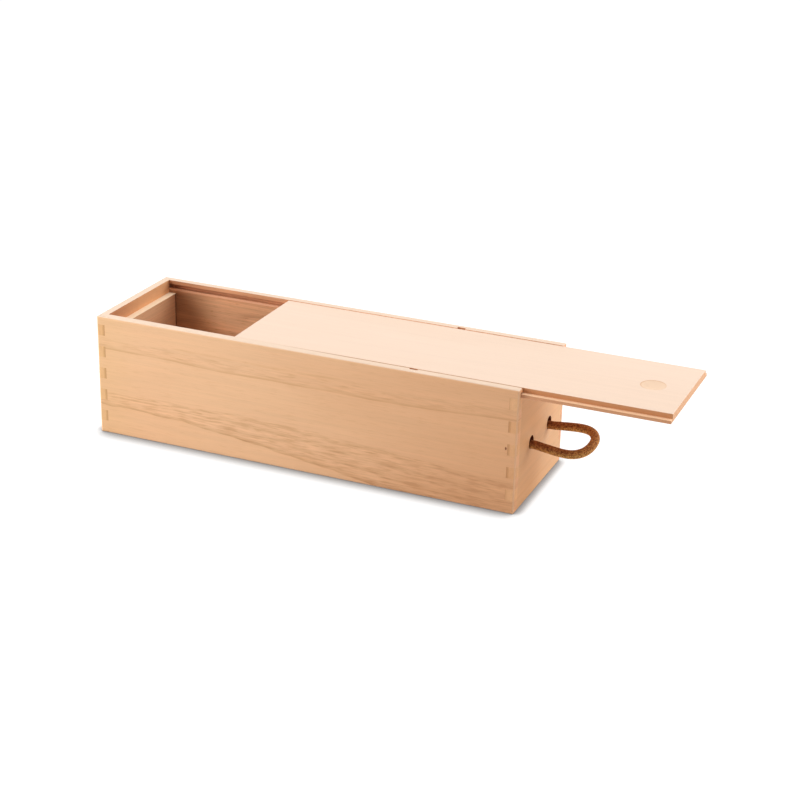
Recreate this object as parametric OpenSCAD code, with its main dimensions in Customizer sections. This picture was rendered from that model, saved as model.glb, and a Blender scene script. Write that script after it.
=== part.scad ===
// Wooden box for one bottle of wine, with a sliding lid and a rope handle.
//
// The four side boards meet in finger joints. The bottom panel lies in a rabbet.
// The lid has a tongue along each long edge, which slides in grooves in the two
// walls, and it comes out over the lower end board. All sizes are in millimetres.
//
// The origin is the centre of the underside. +X points to the end with the rope
// handle, where the lid slides out, -Y to the front, and +Z up.

/* [Box] */
// Outside length of the box
box_l = 350; // [300:1:450]
// Outside width of the box
box_w = 108; // [100:1:140]
// Outside height of the box
box_h = 98; // [90:1:130]
// Thickness of the wall and end boards
board_t = 7; // [6:0.5:9]
// Radius of the rounded outer edges
edge_r = 1.5; // [0.5:0.1:2]

/* [Corner joints] */
// Height of each finger of the end boards, and of the gaps between them
finger_h = 9; // [6:0.5:14]

/* [Bottom] */
// Thickness of the bottom panel
bottom_t = 6; // [4:0.5:8]
// Depth of the rabbet in the side boards that holds the bottom panel
rabbet_d = 3.5; // [2:0.5:4.5]

/* [Lid] */
// Thickness of the lid
lid_t = 6.2; // [5.5:0.1:9]
// How far the top of the lid lies below the tops of the walls
lid_sink = 0.3; // [0:0.1:1]
// Thickness of the tongue along each long edge of the lid
tongue_t = 2.4; // [1.6:0.1:3.4]
// Width of each tongue
tongue_w = 3.9; // [2.5:0.1:4.5]
// Radius of the slightly rounded edges of the lid's upper part
lid_edge_r = 0.5; // [0.2:0.1:1]
// How far the lid is drawn out of the closed box
lid_out = 110; // [0:1:230]
// How far the grooves run on into the corner joints at the left end
groove_run = 1; // [0.5:0.5:3]
// Diameter of the round dish in the lid that serves as a finger pull
pull_d = 19; // [14:1:30]
// Depth of the finger pull at its middle
pull_depth = 1.2; // [0.6:0.1:2.4]
// Distance from the lid's outer end to the middle of the finger pull
pull_inset = 27; // [18:1:40]

/* [Bottle supports] */
// Thickness of the board that the bottle's base stands against
stop_t = 6.2; // [4:0.1:12]
// How far the top of that board lies below the lid's grooves
stop_drop = 4; // [1:0.5:20]
// Thickness of the board that carries the bottle's neck
rest_t = 6.2; // [4:0.1:10]
// Height of the neck rest, above the bottom panel
rest_h = 42; // [34:1:60]
// Distance from the box's left end to the middle of the neck rest
rest_from_left = 266; // [220:1:270]
// Radius of the half-round cut for the bottle's neck
neck_r = 16; // [14:0.5:22]
// Depth of the housings in the walls that hold the neck rest
housing_d = 2.5; // [1.5:0.1:3]

/* [Rope handle] */
// Diameter of the rope
rope_d = 6.5; // [5:0.1:8]
// Diameter of the two holes that the rope goes through
hole_d = 10.3; // [9:0.1:12]
// Distance between the middles of the two holes
hole_spacing = 41; // [35:1:50]
// Height of the middle of the holes above the underside
hole_z = 45; // [30:1:60]
// Diameter of the knot inside the box at each end of the rope
knot_d = 15; // [13:0.5:20]

/* [Clearances] */
// Clearance below each tongue in its groove
tongue_gap = 0.2; // [0.1:0.05:0.4]
// Clearance above each tongue in its groove
tongue_play = 1; // [0.2:0.1:1.4]
// Clearance between the edge of each tongue and the groove's bottom
tip_gap = 0.3; // [0.1:0.05:0.6]
// Gap between the lid's upper part and the front wall
lid_front_gap = 0.7; // [0.3:0.1:1.2]
// Gap between the lid's upper part and the back wall
lid_back_gap = 0.3; // [0.2:0.1:1.2]
// Gap between the closed lid and the left end board
lid_end_gap = 0.3; // [0.1:0.1:1]
// Clearance of the neck rest on each side in its housings
rest_gap = 0.15; // [0.1:0.05:0.3]
// Clearance of the rope from the bottom of its holes
rope_gap = 0.1; // [0.05:0.05:0.3]
// Clearance of each knot from the end board
knot_gap = 0.3; // [0.1:0.1:0.5]

/* [Hidden] */
$fn = 64;

// Cuts that end in the open go this far past the surface.
over = 1;

inner_l = box_l - 2 * board_t;
inner_w = box_w - 2 * board_t;

// The grooves, whose floor is also the height of the right end board
groove_h = tongue_t + tongue_gap + tongue_play;
track_z = box_h - lid_sink - lid_t - tongue_gap;
groove_d = tongue_w - min(lid_front_gap, lid_back_gap) + tip_gap;

// The lid, where it lies when it is drawn out
lid_l = box_l - board_t - lid_end_gap;
lid_right = box_l / 2 + lid_out;
lid_front = -inner_w / 2 + lid_front_gap;
lid_back = inner_w / 2 - lid_back_gap;

// The fingers of the end boards, from the lid's track down to the underside
finger_count = ceil((track_z + finger_h) / (2 * finger_h));

// The neck rest and its housings
rest_x = -box_l / 2 + rest_from_left;
rest_top = bottom_t + rest_h;
housing_l = rest_t + 2 * rest_gap;

// The middle of the rope in its holes: it lies on the bottom of each hole.
rope_z = hole_z - (hole_d - rope_d) / 2 + rope_gap;

// The loop's route, from the front hole to the back one. Each point is measured
// from the middle between the holes, on the outside of the end board: how far
// out, how far back and how far up. The ends are the axis that the loop swings on.
rope_route = [
    [3.6, -20.5, 0],
    [10, -20.7, -0.8],
    [17, -21, -1.6],
    [24, -21.2, -2.2],
    [30, -20.4, -2.5],
    [35, -17.6, -2.4],
    [38.6, -13, -1.9],
    [40.8, -7, -1],
    [41.5, 0, 0],
    [40.8, 7, 0.8],
    [38.4, 13, 1.3],
    [34.6, 17.6, 1.6],
    [29.6, 20.4, 1.6],
    [23.5, 21.3, 1.4],
    [16.5, 21.1, 1],
    [10, 20.8, 0.5],
    [3.6, 20.5, 0]
];
rope_sides = 12;
// The angles of the rings that round off the loop's two ends
cap_angles = [40, 72];

wood_colour = "#e6bf95";
lid_colour = "#f3d3b0";
rope_colour = "#7a4a28";

// ---------------------------------------------------------------- helpers

// A block with its lowest corner at the given point and all edges rounded
module rounded_block(corner, size, r) {
    translate(corner)
        intersection() {
            linear_extrude(size[2]) rounded_rectangle(size[0], size[1], r);
            translate([0, size[1], 0])
                rotate([90, 0, 0])
                linear_extrude(size[1]) rounded_rectangle(size[0], size[2], r);
            rotate([90, 0, 90])
                linear_extrude(size[0]) rounded_rectangle(size[1], size[2], r);
        }
}

module rounded_rectangle(w, h, r) {
    translate([r, 0]) square([w - 2 * r, h]);
    translate([0, r]) square([w, h - 2 * r]);
    for (x = [r, w - r], y = [r, h - r])
        translate([x, y]) circle(r);
}

// The outside of the whole box, which rounds the edges of all its boards alike
module box_outline() {
    rounded_block([-box_l / 2, -box_w / 2, 0], [box_l, box_w, box_h], edge_r);
}

// The room that the bottom panel takes up
module bottom_room() {
    translate([-inner_l / 2 - rabbet_d, -inner_w / 2 - rabbet_d, 0])
        cube([inner_l + 2 * rabbet_d, inner_w + 2 * rabbet_d, bottom_t]);
}

// The bands of height where the end boards' fingers reach through the walls
module finger_bands() {
    for (k = [0:finger_count - 1]) {
        top = track_z - 2 * k * finger_h;
        low = max(0, top - finger_h);
        translate([-box_l / 2, -box_w / 2, low])
            cube([box_l, box_w, top - low]);
    }
}

// ---------------------------------------------------------------- boards

// One wall, drawn as the front one
module wall() {
    color(wood_colour)
        difference() {
            intersection() {
                box_outline();
                translate([-box_l / 2, -box_w / 2, 0])
                    cube([box_l, board_t, box_h]);
            }
            wall_groove();
            neck_housing();
            bottom_room();
            for (end_x = [-box_l / 2, box_l / 2 - board_t])
                intersection() {
                    finger_bands();
                    translate([end_x, -box_w / 2, 0])
                        cube([board_t, board_t, box_h]);
                }
        }
}

// The groove for the lid's tongue, which is open at the right end
module wall_groove() {
    translate([-inner_l / 2 - groove_run, -inner_w / 2 - groove_d, track_z])
        cube([box_l, groove_d, groove_h]);
    translate([-inner_l / 2, -inner_w / 2 - groove_d, track_z])
        cube([box_l, groove_d + over, groove_h]);
}

// The housing that holds one edge of the neck rest, open at the top
module neck_housing() {
    translate([rest_x - housing_l / 2, -inner_w / 2 - housing_d, bottom_t])
        cube([housing_l, housing_d + over, box_h]);
}

module front_wall() {
    wall();
}

module back_wall() {
    mirror([0, 1, 0]) wall();
}

// An end board of the given height: a panel between the walls, and its fingers
module end_board(x, height) {
    intersection() {
        difference() {
            union() {
                translate([x, -inner_w / 2, 0]) cube([board_t, inner_w, height]);
                intersection() {
                    finger_bands();
                    translate([x, -box_w / 2, 0]) cube([board_t, box_w, height]);
                }
            }
            bottom_room();
        }
        box_outline();
    }
}

module left_end() {
    color(wood_colour) end_board(-box_l / 2, box_h);
}

module right_end() {
    color(wood_colour)
        difference() {
            end_board(box_l / 2 - board_t, track_z);
            for (side = [-1, 1])
                translate([box_l / 2 - board_t - over, side * hole_spacing / 2, hole_z])
                    rotate([0, 90, 0])
                    cylinder(d = hole_d, h = board_t + 2 * over);
        }
}

module bottom_panel() {
    color(wood_colour) bottom_room();
}

// ---------------------------------------------------------------- inside

// The board between the left end and the base of the bottle
module bottle_stop() {
    color(wood_colour)
        translate([-inner_l / 2, -inner_w / 2, bottom_t])
        cube([stop_t, inner_w, track_z - stop_drop - bottom_t]);
}

// The board that carries the neck of the bottle in a half-round cut
module neck_rest() {
    rest_w = inner_w + 2 * (housing_d - rest_gap);
    color(wood_colour)
        difference() {
            translate([rest_x - rest_t / 2, -rest_w / 2, bottom_t])
                cube([rest_t, rest_w, rest_h]);
            translate([rest_x - rest_t / 2 - over, 0, rest_top])
                rotate([0, 90, 0])
                cylinder(r = neck_r, h = rest_t + 2 * over);
        }
}

// ---------------------------------------------------------------- lid

module lid() {
    lid_left = lid_right - lid_l;
    under = track_z + tongue_gap;
    upper_w = lid_back - lid_front;
    pull_y = (lid_front + lid_back) / 2;
    // Radius of the ball that cuts a dish of this width and depth
    pull_r = (pow(pull_d / 2, 2) + pow(pull_depth, 2)) / (2 * pull_depth);
    color(lid_colour)
        difference() {
            union() {
                rounded_block([lid_left, lid_front, under], [lid_l, upper_w, lid_t], lid_edge_r);
                translate([lid_left, lid_front - tongue_w, under])
                    cube([lid_l, upper_w + 2 * tongue_w, tongue_t]);
            }
            translate([lid_right - pull_inset, pull_y, under + lid_t - pull_depth + pull_r])
                sphere(r = pull_r);
        }
}

// ---------------------------------------------------------------- rope

function unit(v) = v / norm(v);

// The direction of the route at one of its points
function heading(points, i) =
    let (last = len(points) - 1)
    i == 0 || i == last
        ? unit(points[min(i + 1, last)] - points[max(i - 1, 0)])
        : unit(unit(points[i + 1] - points[i]) + unit(points[i] - points[i - 1]));

// The corners of one ring around the rope
function ring(middle, along, r) =
    let (side = unit(cross(along, [0, 0, 1])), up = cross(side, along))
    [
        for (k = [0:rope_sides - 1])
            let (a = 360 * k / rope_sides)
            middle + r * (cos(a) * side + sin(a) * up)
    ];

// The ring that stands off an end of the route, on the rope's rounded end
function cap_ring(end, outward, along, a) =
    ring(end + outward * rope_d / 2 * sin(a), along, rope_d / 2 * cos(a));

module rope_loop() {
    last = len(rope_route) - 1;
    first_way = heading(rope_route, 0);
    last_way = heading(rope_route, last);
    caps = len(cap_angles);
    rings = concat(
        [
            for (k = [caps - 1:-1:0])
                cap_ring(rope_route[0], -first_way, first_way, cap_angles[k])
        ],
        [for (i = [0:last]) ring(rope_route[i], heading(rope_route, i), rope_d / 2)],
        [
            for (k = [0:caps - 1])
                cap_ring(rope_route[last], last_way, last_way, cap_angles[k])
        ]
    );
    n = rope_sides;
    ends = len(rings) - 1;
    color(rope_colour)
        translate([box_l / 2, 0, rope_z])
        polyhedron(
            points = [for (r = rings, p = r) p],
            faces = concat(
                [[for (k = [0:n - 1]) k]],
                [for (i = [0:ends - 1], k = [0:n - 1])
                    [i * n + k, (i + 1) * n + k, i * n + (k + 1) % n]],
                [for (i = [0:ends - 1], k = [0:n - 1])
                    [i * n + (k + 1) % n, (i + 1) * n + k, (i + 1) * n + (k + 1) % n]],
                [[for (k = [n - 1:-1:0]) ends * n + k]]
            ),
            convexity = 4
        );
}

// One end of the rope: the stretch in its hole, and the knot behind it, drawn as
// a ball
module rope_tail(side) {
    knot_x = box_l / 2 - board_t - knot_gap - knot_d / 2;
    color(rope_colour)
        translate([knot_x, side * hole_spacing / 2, rope_z])
        rotate([0, 90, 0])
        rotate_extrude() {
            intersection() {
                circle(d = knot_d);
                translate([0, -knot_d / 2]) square([knot_d / 2, knot_d]);
            }
            square([rope_d / 2, box_l / 2 - knot_x]);
        }
}

module rope_tail_front() {
    rope_tail(-1);
}

module rope_tail_back() {
    rope_tail(1);
}

front_wall();
back_wall();
left_end();
right_end();
bottom_panel();
bottle_stop();
neck_rest();
lid();
rope_loop();
rope_tail_front();
rope_tail_back();
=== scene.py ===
import math
import bpy
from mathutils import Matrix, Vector


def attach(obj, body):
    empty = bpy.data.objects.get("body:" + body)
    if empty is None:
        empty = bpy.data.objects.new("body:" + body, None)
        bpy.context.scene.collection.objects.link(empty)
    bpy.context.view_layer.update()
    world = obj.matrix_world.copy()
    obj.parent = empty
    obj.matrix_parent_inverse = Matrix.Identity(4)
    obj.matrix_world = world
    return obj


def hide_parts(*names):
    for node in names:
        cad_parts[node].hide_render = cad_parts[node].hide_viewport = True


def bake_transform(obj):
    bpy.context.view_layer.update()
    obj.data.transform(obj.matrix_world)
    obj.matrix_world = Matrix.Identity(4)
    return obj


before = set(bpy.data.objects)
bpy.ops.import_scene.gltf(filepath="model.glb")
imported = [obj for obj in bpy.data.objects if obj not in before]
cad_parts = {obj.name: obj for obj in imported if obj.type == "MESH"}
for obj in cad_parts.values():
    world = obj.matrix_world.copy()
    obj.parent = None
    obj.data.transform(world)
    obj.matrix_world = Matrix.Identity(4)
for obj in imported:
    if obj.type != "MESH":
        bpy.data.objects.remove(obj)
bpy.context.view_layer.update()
bpy.ops.object.select_all(action="DESELECT")

# Camera: a look down onto the long front side, from some way round toward the handle
# end and about 1.4 m away, with a long lens so that the box hardly tapers.
sight = bpy.data.cameras.new("sight")
sight.lens = 80.36
sight.sensor_width = 36.0
sight.clip_start = 0.01
sight.clip_end = 30.0
camera = bpy.data.objects.new("camera", sight)
camera.location = (0.54645, -1.17320, 0.57545)
tilt = 67.512
roll = -1.336
heading = 23.039
camera.rotation_euler = [math.radians(turn) for turn in (tilt, roll, heading)]
bpy.context.scene.collection.objects.link(camera)
bpy.context.scene.camera = camera
bpy.context.scene.view_settings.view_transform = "Standard"


# Rope handle: one length of brown braided cotton cord, six and a half millimetres
# thick. It is threaded through two drilled holes in the end board, and an overhand
# knot on each end, inside the box, stops it from pulling out.
cord_thickness = 0.0065
cord_level = 0.0432
hole_side = 0.0205
outer_face = 0.175
knot_centre = 0.1602

# The loop, point by point: out from the end board, across it, and up from the level
# at which the cord lies in its holes.
loop_run = [
    (0.0036, -0.0205, 0.0), (0.0100, -0.0207, -0.0008), (0.0170, -0.0210, -0.0016),
    (0.0240, -0.0212, -0.0022), (0.0300, -0.0204, -0.0025), (0.0350, -0.0176, -0.0024),
    (0.0386, -0.0130, -0.0019), (0.0408, -0.0070, -0.0010), (0.0415, 0.0, 0.0),
    (0.0408, 0.0070, 0.0008), (0.0384, 0.0130, 0.0013), (0.0346, 0.0176, 0.0016),
    (0.0296, 0.0204, 0.0016), (0.0235, 0.0213, 0.0014), (0.0165, 0.0211, 0.0010),
    (0.0100, 0.0208, 0.0005), (0.0036, 0.0205, 0.0),
]
cord_start = 0.1655
through_hole = (cord_start, 0.169, 0.1735)
cord_route = [Vector((x, -hole_side, cord_level)) for x in through_hole]
cord_route += [Vector((outer_face + out, across, cord_level + up)) for out, across, up in loop_run]
cord_route += [Vector((x, hole_side, cord_level)) for x in reversed(through_hole)]

strands_each_way = 16
braid_turn = 0.0208
braid_depth = 0.00045
around = 96
ring_step = 0.0003
strand_narrowness = 1.9
strand_share = 0.55
weave_share = 0.45
falling_yarns = 40
uneven_every = 0.0093
uneven_by = 0.022
slower_waves = 0.37
first_wave = 1.0
fullest_at_bend = 0.11
end_rounding = 0.0012
smallest_end = 0.02
curve_steps = 24


def even_line(points, step):
    """A smooth line through the points, cut into even steps."""
    spaced = [points[0] * 2 - points[1]] + list(points) + [points[-1] * 2 - points[-2]]
    fine = []
    for a, b, c, d in zip(spaced, spaced[1:], spaced[2:], spaced[3:]):
        for part in range(curve_steps):
            t = part / curve_steps
            fine.append(0.5 * (
                2 * b + (c - a) * t + (2 * a - 5 * b + 4 * c - d) * t * t
                + (3 * b - a - 3 * c + d) * t * t * t
            ))
    fine.append(points[-1].copy())
    gone = [0.0]
    for a, b in zip(fine, fine[1:]):
        gone.append(gone[-1] + (b - a).length)
    count = max(2, round(gone[-1] / step))
    line = []
    place = 0
    for number in range(count + 1):
        wanted = gone[-1] * number / count
        while place < len(fine) - 2 and gone[place + 1] < wanted:
            place += 1
        share = (wanted - gone[place]) / (gone[place + 1] - gone[place])
        line.append(fine[place].lerp(fine[place + 1], min(1.0, share)))
    return line


def strand_on_top(turn, gone):
    """Which strand of the braid lies on top here: height, place across it, along it."""
    rising = strands_each_way * (turn + gone / braid_turn)
    falling = strands_each_way * (turn - gone / braid_turn)
    first = round(rising)
    second = round(falling)
    sign_first = 1 if first % 2 == 0 else -1
    sign_second = 1 if second % 2 == 0 else -1
    over_first = sign_first * math.cos(math.pi * falling)
    over_second = -sign_second * math.cos(math.pi * rising)
    round_first = math.sqrt(max(0.0, 1 - (strand_narrowness * (rising - first)) ** 2))
    round_second = math.sqrt(max(0.0, 1 - (strand_narrowness * (falling - second)) ** 2))
    high_first = strand_share * round_first + weave_share * over_first
    high_second = strand_share * round_second + weave_share * over_second
    if high_first > high_second:
        return high_first, rising, falling
    return high_second, falling + falling_yarns, rising


def braid(name, line, thickness, rounding, fuller=0.0):
    """A braided cord along the line, fuller half-way, closed and rounded at both ends."""
    corners = []
    heights = []
    total = (len(line) - 1) * (line[1] - line[0]).length
    side = Vector((0, 0, 1))
    for number, centre in enumerate(line):
        ahead = line[min(number + 1, len(line) - 1)] - line[max(number - 1, 0)]
        ahead.normalize()
        side = (side - ahead * side.dot(ahead)).normalized()
        other = ahead.cross(side)
        gone = total * number / (len(line) - 1)
        from_end = min(gone, total - gone)
        open_end = min(1.0, from_end / rounding)
        narrowed = math.sqrt(1 - (1 - open_end) ** 2) if open_end < 1 else 1.0
        wave = gone / uneven_every
        swell = math.sin(wave) * math.sin(wave * slower_waves + first_wave)
        lumpy = 1 - uneven_by * (1 - swell) + fuller * math.sin(math.pi * gone / total) ** 2
        for spoke in range(around):
            turn = spoke / around
            height = strand_on_top(turn, gone)[0]
            reach = thickness / 2 * lumpy - braid_depth * (1 - height)
            reach *= max(smallest_end, narrowed)
            angle = 2 * math.pi * turn
            corners.append(centre + (side * math.cos(angle) + other * math.sin(angle)) * reach)
            heights.append(height)
    faces = []
    patches = []
    for number in range(len(line) - 1):
        for spoke in range(around):
            beside = (spoke + 1) % around
            low = number * around
            high = low + around
            faces.append((low + spoke, low + beside, high + beside, high + spoke))
            middle_turn = (spoke + 0.5) / around
            middle_gone = total * (number + 0.5) / (len(line) - 1)
            patches.append((middle_turn, middle_gone))
    faces.append(tuple(range(around - 1, -1, -1)))
    faces.append(tuple((len(line) - 1) * around + spoke for spoke in range(around)))
    shape = bpy.data.meshes.new(name)
    shape.from_pydata(corners, [], faces)
    relief = shape.attributes.new("relief", "FLOAT", "POINT")
    relief.data.foreach_set("value", heights)
    yarn = shape.uv_layers.new(name="yarn")
    for face in shape.polygons:
        if face.index >= len(patches):
            continue
        turn, gone = patches[face.index]
        height, across, along = strand_on_top(turn, gone)
        for corner in face.loop_indices:
            yarn.data[corner].uv = (across, along)
    piece = bpy.data.objects.new(name, shape)
    bpy.context.scene.collection.objects.link(piece)
    bpy.ops.object.select_all(action="DESELECT")
    piece.select_set(True)
    bpy.context.view_layer.objects.active = piece
    bpy.ops.object.shade_smooth()
    return piece


def node(material, kind, **settings):
    """A node in the material, with the given settings, and input values by name."""
    made = material.node_tree.nodes.new(kind)
    for key, value in settings.items():
        socket = made.inputs.get(key.replace("_", " ").title())
        if socket is None:
            setattr(made, key, value)
        elif isinstance(value, bpy.types.NodeSocket):
            material.node_tree.links.new(value, socket)
        else:
            socket.default_value = value
    return made


def calc(material, operation, *values):
    """The result of one sum in the material; each value is a number or a node's output."""
    made = node(material, "ShaderNodeMath", operation=operation)
    for socket, value in zip(made.inputs, values):
        if isinstance(value, bpy.types.NodeSocket):
            material.node_tree.links.new(value, socket)
        else:
            socket.default_value = value
    return made.outputs[0]


def ease(material, value, low, high, bottom=0.0, top=1.0):
    """Goes smoothly from bottom to top as the value goes from low to high."""
    return node(
        material, "ShaderNodeMapRange", interpolation_type="SMOOTHSTEP",
        value=value, from_min=low, from_max=high, to_min=bottom, to_max=top,
    ).outputs[0]


share_socket = 0
first_colour_socket = 6
second_colour_socket = 7
mixed_colour_socket = 2


def mix(material, mode, share, first, second):
    """Two colours mixed in the given mode; each is a colour or a node's output."""
    made = node(material, "ShaderNodeMix", data_type="RGBA", blend_type=mode)
    given = ((share_socket, share), (first_colour_socket, first), (second_colour_socket, second))
    for place, value in given:
        if isinstance(value, bpy.types.NodeSocket):
            material.node_tree.links.new(value, made.inputs[place])
        elif place == share_socket:
            made.inputs[place].default_value = value
        else:
            made.inputs[place].default_value = (*value, 1)
    return made.outputs[mixed_colour_socket]


def ramp(material, value, *stops):
    """A colour that runs through the stops; each stop is a place and a colour or a grey."""
    made = node(material, "ShaderNodeValToRGB", fac=value)
    bands = made.color_ramp.elements
    while len(bands) < len(stops):
        bands.new(1.0)
    for band, (place, tint) in zip(bands, stops):
        band.position = place
        band.color = (*tint, 1) if isinstance(tint, tuple) else (tint, tint, tint, 1)
    return made.outputs[0]


def measured(material, kind="Object"):
    """Where a point of the piece is, or which way it faces, along X, Y and Z."""
    place = node(material, "ShaderNodeTexCoord").outputs[kind]
    return node(material, "ShaderNodeSeparateXYZ", vector=place).outputs


deep_brown = (0.34, 0.110, 0.032)
golden_brown = (1.0, 0.53, 0.165)
painted_shade_above = (0.56, 0.40, 0.40)
painted_shade_at_holes = (0.72, 0.62, 0.60)
patch_share = 0.55
fibre_share = 0.25
stitch_share = 0.20
fuzz_depth = 0.0002


def dyed_cotton(name):
    """Brown dyed cotton yarn: golden, with painted shade between the strands, on its upper side
    and near the holes.
    """
    cotton = bpy.data.materials.new(name)
    cotton.use_nodes = True
    skin = cotton.node_tree.nodes["Principled BSDF"]
    skin.inputs["Roughness"].default_value = 0.9
    skin.inputs["Specular IOR Level"].default_value = 0.15
    skin.inputs["Sheen Weight"].default_value = 0.05
    skin.inputs["Sheen Tint"].default_value = (0.85, 0.52, 0.28, 1)
    relief = node(cotton, "ShaderNodeAttribute", attribute_name="relief").outputs["Fac"]
    yarn = node(cotton, "ShaderNodeUVMap", uv_map="yarn").outputs[0]
    drawn = node(cotton, "ShaderNodeMapping", vector=yarn, scale=(9.0, 1.1, 1.0)).outputs[0]
    fibre = node(cotton, "ShaderNodeTexNoise", vector=drawn, scale=1.0, detail=3.0).outputs[0]
    wide = node(cotton, "ShaderNodeMapping", vector=yarn, scale=(0.65, 0.42, 1.0)).outputs[0]
    patch = node(cotton, "ShaderNodeTexNoise", vector=wide, scale=1.0, detail=1.0).outputs[0]
    centred = node(cotton, "ShaderNodeMapping", vector=yarn, location=(0.5, 0.5, 0.0)).outputs[0]
    stitch = node(cotton, "ShaderNodeVectorMath", operation="FLOOR", vector=centred).outputs[0]
    chance = node(cotton, "ShaderNodeTexWhiteNoise", vector=stitch).outputs[0]
    uneven = calc(cotton, "MULTIPLY", fibre, fibre_share)
    uneven = calc(cotton, "MULTIPLY_ADD", patch, patch_share, uneven)
    uneven = calc(cotton, "MULTIPLY_ADD", chance, stitch_share, uneven)
    dye = ramp(cotton, uneven, (0.36, deep_brown), (0.62, golden_brown))
    # Painted shade: the cord's upper side is darkened, less so at the bend.
    upper = ease(cotton, measured(cotton, "Normal")[2], -0.35, 0.65)
    at_bend = ease(cotton, measured(cotton)[0], 0.200, 0.213, 1.0, 0.76)
    upper = calc(cotton, "MULTIPLY", upper, at_bend)
    dye_with_shade = mix(cotton, "MULTIPLY", upper, dye, painted_shade_above)
    # Painted shade on the cord near the holes.
    near_hole = ease(cotton, measured(cotton)[0], 0.196, 0.177)
    dye_with_shade = mix(cotton, "MULTIPLY", near_hole, dye_with_shade, painted_shade_at_holes)
    # Painted shade in the hollows between the strands.
    shade = ease(cotton, relief, 0.10, 0.78, 0.05, 1.0)
    dye_with_strand_shade = mix(cotton, "MULTIPLY", 1.0, dye_with_shade, shade)
    cotton.node_tree.links.new(dye_with_strand_shade, skin.inputs["Base Color"])
    fuzz = node(cotton, "ShaderNodeBump", height=fibre, strength=0.5, distance=fuzz_depth)
    cotton.node_tree.links.new(fuzz.outputs[0], skin.inputs["Normal"])
    return cotton


cotton = dyed_cotton("brown_cotton")
rope_line = even_line(cord_route, ring_step)
rope = braid("rope", rope_line, cord_thickness, end_rounding, fuller=fullest_at_bend)
rope.data.materials.append(cotton)

knot_round = 0.00172
knot_depth = 1.25 * knot_round
knot_cord = 0.0054
knot_points = 43
knot_start = 90
knot_turn = 8.0
knot_ring_step = 0.0005
knot_end_rounding = 0.0010
for name, side in (("front_knot", -1), ("back_knot", 1)):
    middle = Vector((knot_centre, side * hole_side, cord_level))
    turns = []
    for number in range(knot_points):
        t = math.radians(knot_start + number * knot_turn)
        wide = knot_round * (2 + math.cos(3 * t))
        turns.append(middle + Vector((
            -knot_depth * math.sin(3 * t), wide * math.cos(2 * t), side * wide * math.sin(2 * t)
        )))
    lead_in = [
        middle + Vector((0.0062, 0, 0)),
        middle + Vector((0.0042, 0, 0)),
    ]
    tail = [
        middle + Vector((-0.0072, 0.0004, -0.0012)),
        middle + Vector((-0.0112, 0.0006, -0.0026)),
    ]
    knot_line = even_line(lead_in + turns + tail, knot_ring_step)
    knot = braid(name, knot_line, knot_cord, knot_end_rounding)
    knot.data.materials.append(cotton)
    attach(knot, "box")
    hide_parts("rope_tail_front" if side < 0 else "rope_tail_back")

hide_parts("rope_loop")
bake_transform(rope)


# Front wall: one planed board of pale, warm hardwood, grain along the box, with a long
# thin growth line in its upper part and wavy lines falling to the handle end below.
# Its ends are cut into fingers and glued between those of the end boards.
dark_pore = (0.84, 0.77, 0.70)
ring_wander = 0.35
least_rough = 0.52
rougher_fibre = 0.2
vein_depth = 0.5
planing_depth = 0.00012


def planed_wood(name, grain, pale, warm, line, cut_from, rings, line_depth=0.5, streaky=0.5):
    """Bare planed wood, sawn so that its grain runs along the named axis."""
    wood = bpy.data.materials.new(name)
    wood.use_nodes = True
    skin = wood.node_tree.nodes["Principled BSDF"]
    skin.inputs["IOR"].default_value = 1.46
    skin.inputs["Specular IOR Level"].default_value = 0.25
    place = node(wood, "ShaderNodeTexCoord")
    turns = {"x": (0, 0, 0), "y": (0, 0, -math.pi / 2)}
    board = node(
        wood, "ShaderNodeMapping",
        vector=place.outputs["Object"], location=cut_from, rotation=turns[grain],
    ).outputs[0]

    def streaks(along, across, detail, rough=0.5):
        """Streaks, with the given number of waves a metre along and across the grain."""
        waves = (along, across, across)
        drawn = node(wood, "ShaderNodeMapping", vector=board, scale=waves).outputs[0]
        return node(
            wood, "ShaderNodeTexNoise", vector=drawn, scale=1.0, detail=detail, roughness=rough
        ).outputs[0]

    figure = calc(wood, "MULTIPLY", streaks(2.0, 15.0, 1.0, 0.4), rings)
    growth = calc(wood, "MULTIPLY_ADD", streaks(16.0, 90.0, 2.0), ring_wander, figure)
    late = ramp(
        wood, calc(wood, "FRACT", growth),
        (0.0, 0.55), (0.10, 0.0), (0.55, 0.05), (0.90, 0.45), (0.97, 1.0),
    )
    strong = ease(wood, streaks(5.0, 34.0, 2.0), 0.42, 0.66, 0.05, 1.0)
    lines = calc(wood, "MULTIPLY", calc(wood, "MULTIPLY", late, strong), line_depth)
    tones = ramp(wood, streaks(6.0, 22.0, 2.0), (0.36, pale), (0.66, warm))
    lined = mix(wood, "MIX", lines, tones, line)
    fibre = streaks(22.0, 1100.0, 2.0, 0.6)
    vein = streaks(9.0, 260.0, 2.0, 0.6)
    pore = ease(wood, streaks(150.0, 1500.0, 1.0), 0.62, 0.76)
    fibres = calc(
        wood, "MULTIPLY",
        ease(wood, fibre, 0.3, 0.7, 1 - 0.09 * streaky, 1 + 0.07 * streaky),
        ease(wood, vein, 0.3, 0.7, 1 - 0.12 * streaky, 1 + 0.06 * streaky),
    )
    streaked = mix(wood, "MULTIPLY", 1.0, lined, fibres)
    pores = calc(wood, "MULTIPLY", pore, streaky)
    flecked = mix(wood, "MULTIPLY", pores, streaked, dark_pore)
    wood.node_tree.links.new(flecked, skin.inputs["Base Color"])
    rough = calc(wood, "MULTIPLY_ADD", fibre, rougher_fibre, least_rough)
    wood.node_tree.links.new(rough, skin.inputs["Roughness"])
    depth = calc(wood, "SUBTRACT", calc(wood, "MULTIPLY_ADD", vein, vein_depth, fibre), pore)
    planed = node(wood, "ShaderNodeBump", height=depth, strength=0.25, distance=planing_depth)
    wood.node_tree.links.new(planed.outputs[0], skin.inputs["Normal"])
    return wood


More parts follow.
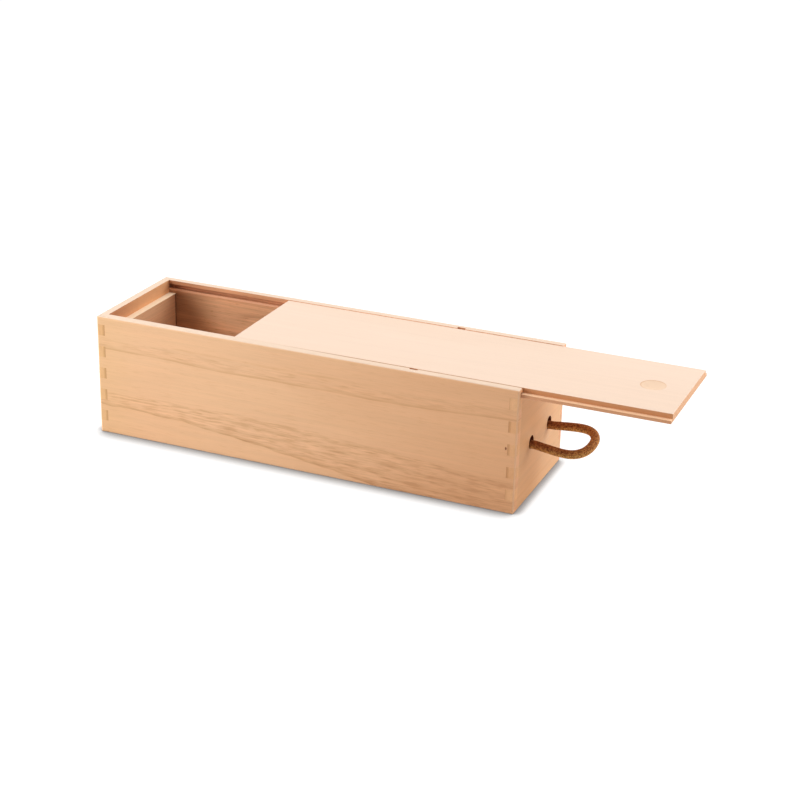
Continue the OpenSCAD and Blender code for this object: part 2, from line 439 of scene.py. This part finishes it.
def stain(wood, where, colour, mode="MULTIPLY"):
    """Changes the wood's colour where the mask is 1."""
    finish = wood.node_tree.nodes["Principled BSDF"].inputs["Base Color"]
    stained = mix(wood, mode, where, finish.links[0].from_socket, colour)
    wood.node_tree.links.new(stained, finish)


def within(wood, value, low, high, soft):
    """1 where the value lies between low and high, with soft borders."""
    over = ease(wood, value, low - soft, low + soft)
    under = ease(wood, value, high - soft, high + soft, 1.0, 0.0)
    return calc(wood, "MULTIPLY", over, under)


inner_face = 0.047
outer_side = 0.054
top_light_colour = (0.88, 0.69, 0.54)
arris_highlight = (1.0, 0.61, 0.36)
corner_highlight = (1.10, 1.13, 1.15)
paler_from = 0.0020
palest_from = 0.0008
lip_level = 0.0966
top_blend_height = 0.0003


def painted_top_light(wood, lowest):
    """The upper faces get painted light from above, so they are the palest."""
    up = ease(wood, measured(wood, "Normal")[2], 0.45, 0.85, 0.0, 0.9)
    high = ease(wood, measured(wood)[2], lowest, lowest + top_blend_height)
    stain(wood, calc(wood, "MULTIPLY", up, high), top_light_colour, "MIX")


def cloud(wood, place, waves, detail):
    """Uneven patches, with the given number of waves a metre along X, Y and Z."""
    spread = node(wood, "ShaderNodeMapping", vector=place, scale=waves).outputs[0]
    return node(wood, "ShaderNodeTexNoise", vector=spread, scale=1.0, detail=detail).outputs[0]


def painted_corner_highlight(wood):
    """The upright outer corners get a painted highlight, paler where their rounding would catch
    the light.
    """
    place = measured(wood)
    short_x = calc(wood, "SUBTRACT", outer_face, calc(wood, "ABSOLUTE", place[0]))
    short_y = calc(wood, "SUBTRACT", outer_side, calc(wood, "ABSOLUTE", place[1]))
    from_corner = calc(wood, "ADD", short_x, short_y)
    stain(wood, ease(wood, from_corner, paler_from, palest_from), corner_highlight)
    facing = measured(wood, "Normal")
    both = calc(wood, "ABSOLUTE", calc(wood, "MULTIPLY", facing[0], facing[1]))
    stain(wood, ease(wood, both, 0.20, 0.45, 0.0, 0.85), arris_highlight, "MIX")


front_wood = planed_wood(
    "front_wall_wood", "x", pale=(0.85, 0.520, 0.297), warm=(0.835, 0.495, 0.275),
    line=(0.55, 0.29, 0.15), cut_from=(0.31, 0.12, 0.05), rings=4.0, line_depth=0.08, streaky=0.22,
)
x, y, z = measured(front_wood)
place = node(front_wood, "ShaderNodeTexCoord").outputs["Object"]
toward_handle = ease(front_wood, x, -0.06, 0.19)
stain(front_wood, toward_handle, (0.93, 0.845, 0.79))
low_right = calc(
    front_wood, "MULTIPLY", ease(front_wood, x, 0.04, 0.17), ease(front_wood, z, 0.060, 0.010)
)
stain(front_wood, low_right, (0.93, 0.89, 0.86))
closed_end = ease(front_wood, x, -0.13, -0.172)
stain(front_wood, closed_end, (0.97, 0.985, 0.94))

sway = calc(front_wood, "SUBTRACT", cloud(front_wood, place, (22.0, 1.0, 60.0), 3.0), 0.5)
wide_sway = 0.0070
slight_sway = 0.0020
swayed = calc(front_wood, "MULTIPLY_ADD", sway, wide_sway, z)
fine_sway = calc(front_wood, "MULTIPLY_ADD", sway, slight_sway, z)
breaks = cloud(front_wood, place, (34.0, 1.0, 210.0), 3.0)
broken = ease(front_wood, breaks, 0.36, 0.62, 0.12, 1.0)

# The lower growth lines fall away to the handle end between two boundaries.
lower_edge = ease(front_wood, x, -0.15, 0.17, 0.0235, -0.006)
upper_edge = ease(front_wood, x, -0.06, 0.19, 0.0340, 0.0205)
span = calc(front_wood, "SUBTRACT", upper_edge, lower_edge)
rise = calc(front_wood, "DIVIDE", calc(front_wood, "SUBTRACT", swayed, lower_edge), span)
lower_lines = 3.0
line_offset = 0.06
band_height = calc(front_wood, "MULTIPLY_ADD", rise, lower_lines, line_offset)
bands = ramp(
    front_wood, calc(front_wood, "FRACT", band_height),
    (0.0, 0.0), (0.10, 1.0), (0.34, 0.62), (0.66, 0.15), (0.95, 0.0),
)
first_band = ease(front_wood, rise, 0.22, 0.30, 1.0, 0.50)
bands = calc(front_wood, "MULTIPLY", bands, first_band)
figured = within(front_wood, rise, -0.01, 1.16, 0.05)
from_left = ease(front_wood, x, -0.17, -0.06, 0.30, 1.0)
near_first = ease(front_wood, rise, 0.15, 0.30, 1.0, 0.0)
bands = calc(front_wood, "MULTIPLY", bands, calc(front_wood, "MAXIMUM", from_left, near_first))
bands = calc(front_wood, "MULTIPLY", bands, figured)
solid = calc(front_wood, "MAXIMUM", broken, calc(front_wood, "MULTIPLY", near_first, 0.55))
stain(front_wood, calc(front_wood, "MULTIPLY", bands, solid), (0.74, 0.66, 0.58))

# One long thin line runs the whole length of the upper part, with a fainter one above it.
# Heights over the long line are counted in steps of two centimetres, from a tenth up.
lift = calc(
    front_wood, "ADD",
    ease(front_wood, x, 0.07, 0.19, 0.0703, 0.0741),
    ease(front_wood, x, -0.06, -0.13, 0.0, 0.0014),
)
steps_a_metre = 50.0
from_a_tenth = 0.1
over_lift = calc(front_wood, "SUBTRACT", fine_sway, lift)
above = calc(front_wood, "MULTIPLY_ADD", over_lift, steps_a_metre, from_a_tenth)
long_line = ramp(
    front_wood, above,
    (0.075, 0.0), (0.095, 1.0), (0.13, 0.80), (0.18, 0.20), (0.35, 0.10), (0.60, 0.0),
)
hardly_broken = ease(front_wood, broken, 0.0, 1.0, 0.5, 1.0)
stain(front_wood, calc(front_wood, "MULTIPLY", long_line, hardly_broken), (0.84, 0.77, 0.70))
faint_line = calc(
    front_wood, "MULTIPLY",
    within(front_wood, above, 0.60, 0.68, 0.04), within(front_wood, x, -0.10, 0.05, 0.02),
)
stain(front_wood, calc(front_wood, "MULTIPLY", faint_line, broken), (0.90, 0.86, 0.81))

# Short dark flecks lie all over it, most of them among the growth lines.
drawn = node(front_wood, "ShaderNodeCombineXYZ", x=x, y=y, z=fine_sway).outputs[0]
streak = cloud(front_wood, drawn, (58.0, 1.0, 640.0), 3.0)
fleck = ease(front_wood, cloud(front_wood, drawn, (75.0, 1.0, 950.0), 1.0), 0.56, 0.70)
over_line = calc(front_wood, "MULTIPLY", within(front_wood, above, 0.15, 0.55, 0.1), 0.6)
speckled = calc(front_wood, "MAXIMUM", figured, over_line)
dark_streak = ease(front_wood, streak, 0.46, 0.66)
stain(front_wood, calc(front_wood, "MULTIPLY", dark_streak, speckled), (0.88, 0.83, 0.79))
pale_streak = ease(front_wood, streak, 0.46, 0.32)
stain(front_wood, calc(front_wood, "MULTIPLY", pale_streak, speckled), (1.06, 1.06, 1.06))
fleck = calc(front_wood, "MULTIPLY", fleck, ease(front_wood, speckled, 0.0, 1.0, 0.40, 1.0))
stain(front_wood, fleck, (0.90, 0.86, 0.81))

# The ends of its fingers are a little paler. The corners have painted highlights and the top has
# painted light;
# the top's inner edge has a painted shade line beside the lid, and there is one nick near a
# finger.
faces_x = calc(front_wood, "ABSOLUTE", measured(front_wood, "Normal")[0])
end_on = ease(front_wood, faces_x, 0.5, 0.9)
stain(front_wood, end_on, (1.10, 1.06, 1.04))
painted_corner_highlight(front_wood)
painted_top_light(front_wood, lip_level)
# Painted shade: a dark line along the top's inner edge, in the gap beside the lid.
gap_shade_line = calc(
    front_wood, "MULTIPLY",
    ease(front_wood, y, -inner_face - 0.0013, -inner_face - 0.0009),
    ease(front_wood, x, -0.03, 0.05),
)
on_top = ease(front_wood, z, lip_level, lip_level + top_blend_height)
stain(front_wood, calc(front_wood, "MULTIPLY", gap_shade_line, on_top), (0.56, 0.38, 0.25))
nick_place = (0.1668, 0.0515)
nick_radius = 0.0010
nick_core = 0.0004
nick_stretch = 0.6
from_nick_x = calc(front_wood, "SUBTRACT", x, nick_place[0])
from_nick_z = calc(front_wood, "SUBTRACT", z, nick_place[1])
from_nick_z = calc(front_wood, "MULTIPLY", from_nick_z, nick_stretch)
away = calc(
    front_wood, "MULTIPLY_ADD", from_nick_x, from_nick_x,
    calc(front_wood, "MULTIPLY", from_nick_z, from_nick_z),
)
nick = ease(front_wood, calc(front_wood, "SQRT", away), nick_radius, nick_core)
on_front = ease(front_wood, y, -outer_side + 0.0020, -outer_side + 0.0005)
nick = calc(front_wood, "MULTIPLY", nick, on_front)
stain(front_wood, nick, (0.28, 0.18, 0.14))


def finish_board(name, wood):
    """Gives a board of the box its wood."""
    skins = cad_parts[name].data.materials
    skins.clear()
    skins.append(wood)


finish_board("front_wall", front_wood)


# Back wall: a board of the same stock as the front wall, finger jointed and glued the
# same way. It has stronger, redder streaks. Inside it, painted shade darkens the groove's
# closed end and the parts near the stop, and painted light brightens the groove's lower edge and
# the face below it.
back_wood = planed_wood(
    "back_wall_wood", "x", pale=(0.90, 0.49, 0.270), warm=(0.81, 0.395, 0.205),
    line=(0.40, 0.16, 0.075), cut_from=(1.31, 0.72, 0.45), rings=9.0, line_depth=0.7, streaky=1.0,
)
x, y, z = measured(back_wood)
groove_floor = 0.0911
groove_roof = 0.0951
groove_back = 0.0511
inside = ease(back_wood, y, inner_face + 0.0015, inner_face + 0.0005)
outside = ease(back_wood, y, outer_side - 0.0020, outer_side - 0.0010)
# Painted shade on the inner face toward the stop.
shade_toward_stop = calc(back_wood, "MULTIPLY", ease(back_wood, x, -0.115, -0.165), inside)
stain(back_wood, shade_toward_stop, (0.62, 0.53, 0.48))
stain(back_wood, outside, (1.0, 1.09, 1.14))
# Painted light: the inner face below the groove is made paler.
well_below = ease(back_wood, z, groove_floor - 0.0001, groove_floor - 0.0051)
below_groove = calc(back_wood, "MULTIPLY", well_below, inside)
stain(back_wood, below_groove, (1.11, 1.26, 1.32))
# Painted shade on that face behind the stop.
shade_behind_stop = calc(back_wood, "MULTIPLY", below_groove, ease(back_wood, x, -0.118, -0.150))
stain(back_wood, shade_behind_stop, (0.70, 0.66, 0.63))
# Painted shade in the groove, deepest at its closed end.
in_groove = calc(
    back_wood, "MULTIPLY",
    within(back_wood, z, groove_floor, groove_roof, 0.0001),
    within(back_wood, y, inner_face + 0.0003, groove_back, 0.0002),
)
groove_shade_at_end = ease(back_wood, x, -0.10, -0.160)
stain(back_wood, calc(back_wood, "MULTIPLY", in_groove, groove_shade_at_end), (0.62, 0.48, 0.42))
# Painted light on the groove's lower edge, weaker toward the closed end.
along_groove = within(back_wood, z, groove_floor - 0.0015, groove_floor + 0.0002, 0.0003)
groove_edge = calc(back_wood, "MULTIPLY", along_groove, inside)
less_at_end = ease(back_wood, x, -0.115, -0.140, 0.70, 0.40)
lit_groove_edge = calc(back_wood, "MULTIPLY", groove_edge, less_at_end)
stain(back_wood, lit_groove_edge, (1.0, 0.56, 0.35), "MIX")
# Painted light on the top faces.
painted_top_light(back_wood, lip_level)
finish_board("back_wall", back_wood)


# End boards: two shorter boards of the same stock, grain across the box. The ends of
# their glued fingers show as small darker squares on the long sides. The one at the
# handle end is lower, so that the lid slides out over it, and is drilled for the rope.
shoulder = 0.168
finger_height = 0.009
lowest_finger = 0.0103
hole_level = 0.045
hole_radius = 0.00515
below_end_tops = 0.09


def end_finger(wood, z):
    """1 at the heights where a finger of an end board comes through to the long side."""
    step = calc(wood, "DIVIDE", calc(wood, "SUBTRACT", z, lowest_finger), 2 * finger_height)
    return within(wood, calc(wood, "FRACT", step), 0.0, 0.5, 0.012)


for name, cut_from, squares, low_squares, faintest in (
    ("left_end", (2.2, 0.3, 0.9), (0.90, 0.91, 0.83), (1.0, 1.0, 1.0), 1.0),
    ("right_end", (3.1, 1.2, 0.4), (0.91, 0.85, 0.81), (0.93, 0.89, 0.86), 0.30),
):
    end_wood = planed_wood(
        name + "_wood", "y", pale=(0.87, 0.515, 0.275), warm=(0.83, 0.47, 0.24),
        line=(0.50, 0.26, 0.13), cut_from=cut_from, rings=5.0, line_depth=0.25, streaky=0.3,
    )
    x, y, z = measured(end_wood)
    out = calc(end_wood, "ABSOLUTE", x)
    outside = ease(end_wood, out, outer_face - 0.0007, outer_face - 0.0003)
    # Painted shade on the outer face, growing toward the front.
    shaded_near_side = calc(end_wood, "MULTIPLY", outside, ease(end_wood, y, 0.018, -0.022))
    stain(end_wood, shaded_near_side, (0.90, 0.83, 0.74))
    # Painted highlight along the outer face's front corner.
    by_near_corner = ease(end_wood, y, -inner_face + 0.0010, -inner_face - 0.0005)
    highlit_near_edge = calc(end_wood, "MULTIPLY", outside, by_near_corner)
    stain(end_wood, highlit_near_edge, (1.10, 1.12, 1.14))
    low_line = within(end_wood, z, 0.0085, 0.0110, 0.0012)
    stain(end_wood, low_line, (0.95, 0.93, 0.90))
    inside = ease(end_wood, out, shoulder + 0.0004, shoulder + 0.0001)
    stain(end_wood, inside, (1.06, 0.97, 0.92))
    # Painted shade on the inner face, toward the front.
    shade_inside_near = calc(end_wood, "MULTIPLY", inside, ease(end_wood, y, 0.020, -inner_face))
    stain(end_wood, shade_inside_near, (0.68, 0.58, 0.56))
    aside = calc(end_wood, "ABSOLUTE", y)
    shows = ease(end_wood, aside, outer_side - 0.0040, outer_side - 0.0010)
    finger = calc(end_wood, "MULTIPLY", shows, end_finger(end_wood, z))
    middle_ones = within(end_wood, z, 0.022, 0.078, 0.004)
    clearest = ease(end_wood, middle_ones, 0.0, 1.0, faintest, 1.0)
    finger = calc(end_wood, "MULTIPLY", finger, clearest)
    stain(end_wood, finger, squares)
    low_finger = calc(end_wood, "MULTIPLY", finger, ease(end_wood, z, 0.060, 0.010))
    stain(end_wood, low_finger, low_squares)
    from_hole_y = calc(end_wood, "SUBTRACT", aside, hole_side)
    from_hole_z = calc(end_wood, "SUBTRACT", z, hole_level)
    from_hole = calc(end_wood, "SQRT", calc(
        end_wood, "MULTIPLY_ADD", from_hole_y, from_hole_y,
        calc(end_wood, "MULTIPLY", from_hole_z, from_hole_z),
    ))
    handle_end = ease(end_wood, x, 0.0, 0.1)
    # Painted shade inside the bore of each rope hole.
    in_hole = ease(end_wood, from_hole, hole_radius + 0.0001, hole_radius)
    bore_shade = calc(end_wood, "MULTIPLY", in_hole, handle_end)
    stain(end_wood, bore_shade, (0.22, 0.09, 0.07))
    by_shoulder = ease(end_wood, out, shoulder + 0.0024, shoulder + 0.0010)
    glue = calc(end_wood, "MULTIPLY", by_shoulder, finger)
    stain(end_wood, glue, (0.82, 0.77, 0.70))
    # Painted highlights on the corners and painted light on the top faces.
    painted_corner_highlight(end_wood)
    painted_top_light(end_wood, below_end_tops)
    finish_board(name, end_wood)


# Bottom panel: one thin board of the same wood, a little darker, with its grain along
# the box. It is let into a rabbet round the lower edge of the four walls and glued.
bottom_wood = planed_wood(
    "bottom_panel_wood", "x", pale=(0.76, 0.46, 0.26), warm=(0.70, 0.40, 0.21),
    line=(0.42, 0.21, 0.10), cut_from=(4.4, 0.6, 0.2), rings=8.0,
)
finish_board("bottom_panel", bottom_wood)


# Bottle supports: two thin boards across the inside. The plain stop at the closed end
# takes the foot of the bottle and is glued in. The neck rest has a half-round notch
# and stands in shallow housings cut down the inner faces of the long walls.
for name, cut_from in (("bottle_stop", (5.2, 0.3, 0.9)), ("neck_rest", (6.1, 1.2, 0.4))):
    rest_wood = planed_wood(
        name + "_wood", "y", pale=(0.90, 0.55, 0.32), warm=(0.84, 0.48, 0.27),
        line=(0.42, 0.21, 0.10), cut_from=cut_from, rings=5.0, line_depth=0.3, streaky=0.6,
    )
    y = measured(rest_wood)[1]
    aside = calc(rest_wood, "ABSOLUTE", y)
    shadow_gap = ease(rest_wood, aside, inner_face - 0.0022, inner_face - 0.0010)
    stain(rest_wood, shadow_gap, (0.30, 0.20, 0.15))
    # Painted light on the upward faces.
    top_light_on_rest = ease(rest_wood, measured(rest_wood, "Normal")[2], 0.75, 0.97, 0.0, 0.9)
    stain(rest_wood, top_light_on_rest, (1.0, 0.81, 0.58), "MIX")
    finish_board(name, rest_wood)


# Lid: one thin board, planed and paler than the box. A step sawn along both long edges
# leaves a thin tongue that slides in the grooves of the walls, and a shallow round
# dish cut near the outer end is the finger pull.
lid_wood = planed_wood(
    "lid_wood", "x", pale=(0.925, 0.715, 0.568), warm=(0.915, 0.70, 0.55),
    line=(0.78, 0.56, 0.41), cut_from=(7.4, 0.6, 0.2), rings=3.0, line_depth=0.2, streaky=0.12,
)
x, y, z = measured(lid_wood)
facing_x, facing_y, facing_z = measured(lid_wood, "Normal")
tongue_top = 0.0942
aside = ease(lid_wood, calc(lid_wood, "ABSOLUTE", facing_y), 0.35, 0.85)
above_tongue = ease(lid_wood, z, tongue_top - 0.0001, tongue_top + 0.0001)
stain(lid_wood, calc(lid_wood, "MULTIPLY", aside, above_tongue), (0.68, 0.41, 0.235))
on_tongue = calc(lid_wood, "SUBTRACT", 1.0, above_tongue)
stain(lid_wood, calc(lid_wood, "MULTIPLY", aside, on_tongue), (0.74, 0.47, 0.31))
# Painted light on the top of the tongue.
lit_tongue_top = calc(lid_wood, "MULTIPLY", ease(lid_wood, facing_z, 0.6, 0.95), on_tongue)
stain(lid_wood, lit_tongue_top, (1.07, 0.90, 0.70))
sawn_end = ease(lid_wood, calc(lid_wood, "ABSOLUTE", facing_x), 0.75, 0.98)
stain(lid_wood, sawn_end, (0.86, 0.60, 0.40))
pull_place = (0.258, 0.0002)
pull_radius = 0.0096
pull_x = calc(lid_wood, "SUBTRACT", x, pull_place[0])
pull_y = calc(lid_wood, "SUBTRACT", y, pull_place[1])
from_pull = calc(lid_wood, "SQRT", calc(
    lid_wood, "MULTIPLY_ADD", pull_x, pull_x, calc(lid_wood, "MULTIPLY", pull_y, pull_y)
))
in_dish = ease(lid_wood, from_pull, pull_radius, pull_radius - 0.0006)
stain(lid_wood, in_dish, (0.97, 0.91, 0.82))
# Painted shade along the dish's rim, strongest at its far left.
rim = within(lid_wood, from_pull, pull_radius - 0.0007, pull_radius, 0.0003)
shade_to_far_left = ease(lid_wood, calc(lid_wood, "SUBTRACT", pull_y, pull_x), -0.009, 0.006, 0.25, 1.0)
stain(lid_wood, calc(lid_wood, "MULTIPLY", rim, shade_to_far_left), (0.84, 0.70, 0.55))
finish_board("lid", lid_wood)


# Floor and light: a plain white paper floor whose glow is dimmed close to the box by a
# painted contact shadow, white air all round, and three soft lamps: one overhead, a smaller
# one at the front left and a wide one to the right, behind the handle end.
floor_mesh = bpy.data.meshes.new("floor")
reach = 6.0
floor_corners = [(-reach, -reach, 0), (reach, -reach, 0), (reach, reach, 0), (-reach, reach, 0)]
floor_mesh.from_pydata(floor_corners, [], [(0, 1, 2, 3)])
floor = bpy.data.objects.new("floor", floor_mesh)
bpy.context.scene.collection.objects.link(floor)
paper = bpy.data.materials.new("white_paper")
paper.use_nodes = True
paper.node_tree.nodes.remove(paper.node_tree.nodes["Principled BSDF"])
rays = node(paper, "ShaderNodeLightPath").outputs
seen = calc(paper, "MAXIMUM", rays["Is Camera Ray"], rays["Is Glossy Ray"])
seen = calc(paper, "MAXIMUM", seen, rays["Is Transmission Ray"])
from_middle = calc(paper, "ABSOLUTE", measured(paper)[0])
shadow_reach = ease(paper, from_middle, 0.170, 0.184, 0.018, 0.009)
# Painted contact shadow: the glow is dimmed where the box shuts out the air above; the matt part
# keeps the real shadow.
air_above = node(paper, "ShaderNodeAmbientOcclusion", distance=shadow_reach, samples=16)
open_air = air_above.outputs["AO"]
white = ease(paper, open_air, 0.40, 1.05, 0.15, 0.98)
lit_paper = (0.75, 0.75, 0.75)
seen_paper = (0.20, 0.20, 0.20)
tone = mix(paper, "MIX", rays["Is Camera Ray"], lit_paper, seen_paper)
matt = node(paper, "ShaderNodeBsdfDiffuse", color=tone).outputs[0]
glow = node(paper, "ShaderNodeEmission", strength=calc(paper, "MULTIPLY", seen, white)).outputs[0]
both = node(paper, "ShaderNodeAddShader")
paper.node_tree.links.new(matt, both.inputs[0])
paper.node_tree.links.new(glow, both.inputs[1])
finished = paper.node_tree.nodes["Material Output"].inputs["Surface"]
paper.node_tree.links.new(both.outputs[0], finished)
floor_mesh.materials.append(paper)

room = bpy.data.worlds.new("room")
bpy.context.scene.world = room
room.use_nodes = True
rays = node(room, "ShaderNodeLightPath").outputs
seen = calc(room, "MAXIMUM", rays["Is Camera Ray"], rays["Is Glossy Ray"])
seen = calc(room, "MAXIMUM", seen, rays["Is Transmission Ray"])
air = room.node_tree.nodes["Background"]
air.inputs["Color"].default_value = (1, 1, 1, 1)
air_light = 0.30
strength = ease(room, seen, 0.0, 1.0, air_light, 1.0)
room.node_tree.links.new(strength, air.inputs["Strength"])

lamps_aim = Vector((0, 0, 0.05))
for name, spot, size, power in (
    ("overhead", (-0.1, 0.1, 1.9), 1.2, 14.5),
    ("front_left", (-0.90, -0.75, 0.50), 0.6, 10.0),
    ("right_side", (1.05, 0.90, 0.60), 1.3, 15.5),
):
    lamp = bpy.data.lights.new(name, "AREA")
    lamp.shape = "SQUARE"
    lamp.size = size
    lamp.energy = power
    holder = bpy.data.objects.new(name, lamp)
    holder.location = spot
    holder.rotation_euler = (lamps_aim - Vector(spot)).to_track_quat("-Z", "Y").to_euler()
    bpy.context.scene.collection.objects.link(holder)
